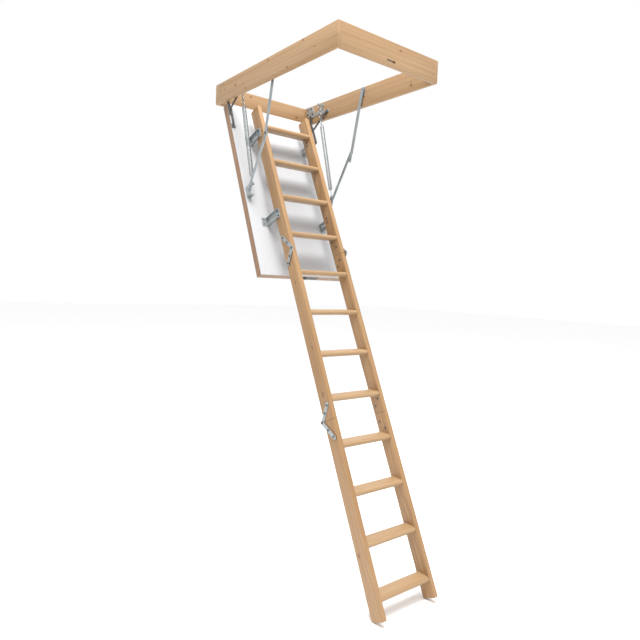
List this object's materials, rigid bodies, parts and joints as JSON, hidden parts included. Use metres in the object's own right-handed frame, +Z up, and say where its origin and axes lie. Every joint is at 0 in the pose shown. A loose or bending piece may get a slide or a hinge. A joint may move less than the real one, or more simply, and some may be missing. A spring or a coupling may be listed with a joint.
{
  "type": "attic ladder",
  "caption": "Folding wooden attic ladder in a hatch frame: hinged sections with level treads, insulated white hatch, springs and side arms, drawn open and unfolded.",
  "frame": {"origin": "centre of the opening at the frame's lower plane, which is the ceiling plane", "axes": "+Z up, +X across the ladder, +Y towards the hinge end of the opening, -Y towards the foot of the ladder"},
  "size_m": [0.7, 1.5172, 2.8137],
  "materials": {
    "frame_wood": "planed pine boards, oiled",
    "stile_wood": "planed pine, clear satin lacquer",
    "tread_wood": "planed pine, clear satin lacquer",
    "rail_wood": "sawn softwood edge rail",
    "white_board": "white faced hardboard, matt",
    "insulation": "foam insulation",
    "black_plastic": "moulded, satin",
    "dark_steel": "dark coated steel",
    "arm_steel": "galvanised flat bar",
    "fixing_steel": "zinc plated",
    "zinc_steel": "galvanised pressed steel",
    "spring_steel": "zinc plated spring wire"
  },
  "bodies": {
    "frame": {"side_board_left": "frame_wood", "side_board_right": "frame_wood", "hinge_end_board": "frame_wood", "latch_end_board": "frame_wood", "corner_screws": "fixing_steel", "hinge_bracket_left": "zinc_steel", "hinge_bracket_right": "zinc_steel", "arm_mounts": "zinc_steel", "frame_fixings": "fixing_steel", "latch_keeper": "zinc_steel"},
    "spring_sets": {"chains": "spring_steel", "spring_left": "spring_steel", "spring_right": "spring_steel"},
    "hinge_links": {"hinge_links": "dark_steel"},
    "stay_links": {"stay_links": "dark_steel"},
    "upper_arms": {"upper_arm_left": "arm_steel", "upper_arm_right": "arm_steel", "elbow_rivets": "fixing_steel"},
    "hatch": {"arm_bracket_left": "zinc_steel", "arm_bracket_right": "zinc_steel", "front_knee_top_leaves": "zinc_steel", "hatch_attic_skin": "white_board", "hatch_ceiling_skin": "white_board", "hatch_core": "insulation", "hatch_end_rails": "rail_wood", "hatch_fixings": "fixing_steel", "hatch_side_rails": "rail_wood", "hinge_strap_left": "dark_steel", "hinge_strap_right": "dark_steel", "latch_housing": "black_plastic", "standoffs_lower": "zinc_steel", "standoffs_upper": "zinc_steel", "tread_1": "tread_wood", "tread_2": "tread_wood", "tread_3": "tread_wood", "tread_4": "tread_wood", "upper_bolts": "fixing_steel", "upper_stile_left": "stile_wood", "upper_stile_right": "stile_wood"},
    "lower_arms": {"lower_arm_left": "arm_steel", "lower_arm_right": "arm_steel"},
    "latch": {"latch_bolt": "zinc_steel"},
    "section_2": {"middle_stile_left": "stile_wood", "middle_stile_right": "stile_wood", "tread_5": "tread_wood", "tread_6": "tread_wood", "tread_7": "tread_wood", "tread_8": "tread_wood", "front_knee_low_leaves": "zinc_steel", "back_knee_top_leaves": "zinc_steel", "middle_bolts": "fixing_steel"},
    "section_3": {"lower_stile_left": "stile_wood", "lower_stile_right": "stile_wood", "tread_9": "tread_wood", "tread_10": "tread_wood", "tread_11": "tread_wood", "tread_12": "tread_wood", "back_knee_low_leaves": "zinc_steel", "lower_bolts": "fixing_steel"}
  },
  "joints": [
    {"name": "hatch_swing", "type": "hinge", "parent": "hinge_links", "child": "hatch", "pos_m": [0, 0.49105, -0.00295], "axis": [-1, 0, 0], "range_deg": [0, 107.66], "deforming": ["spring_left", "spring_right"]},
    {"name": "link_swing", "type": "hinge", "parent": "frame", "child": "hinge_links", "pos_m": [0, 0.5, 0.047], "axis": [1, 0, 0], "range_deg": [0, 64.01]},
    {"name": "spring_swing", "type": "hinge", "parent": "frame", "child": "spring_sets", "pos_m": [0, 0.38, 0.1], "axis": [-1, 0, 0], "range_deg": [0, 41.47]},
    {"name": "stay_swing", "type": "hinge", "parent": "frame", "child": "stay_links", "pos_m": [0, 0.32, 0.051], "axis": [1, 0, 0], "range_deg": [0, 19.46]},
    {"name": "upper_arm_swing", "type": "hinge", "parent": "frame", "child": "upper_arms", "pos_m": [0, -0.03, 0.106], "axis": [-1, 0, 0], "range_deg": [0, 71.01]},
    {"name": "lower_arm_swing", "type": "hinge", "parent": "hatch", "child": "lower_arms", "pos_m": [0, 0.22206, -0.56001], "axis": [1, 0, 0], "range_deg": [0, 83.71]},
    {"name": "ladder_fold", "type": "hinge", "parent": "hatch", "child": "section_2", "pos_m": [0, -0.07718, -0.90201], "axis": [-1, 0, 0], "range_deg": [0, 157.8]},
    {"name": "foot_fold", "type": "hinge", "parent": "section_2", "child": "section_3", "pos_m": [0, -0.41476, -1.82713], "axis": [1, 0, 0], "range_deg": [0, 180]},
    {"name": "latch_slide", "type": "slide", "parent": "hatch", "child": "latch", "axis": [0, 0.4019, 0.9157], "range_m": [0, 0.012]}
  ],
  "couplings": [
    {"joint": "link_swing", "follows": "hatch_swing", "ratio": 0.59447},
    {"joint": "stay_swing", "follows": "hatch_swing", "ratio": 0.18066},
    {"joint": "spring_swing", "follows": "hatch_swing", "ratio": 0.3851},
    {"joint": "upper_arm_swing", "follows": "hatch_swing", "ratio": 0.65952},
    {"joint": "lower_arm_swing", "follows": "hatch_swing", "ratio": 0.77743},
    {"joint": "foot_fold", "follows": "ladder_fold", "ratio": 1.14}
  ]
}
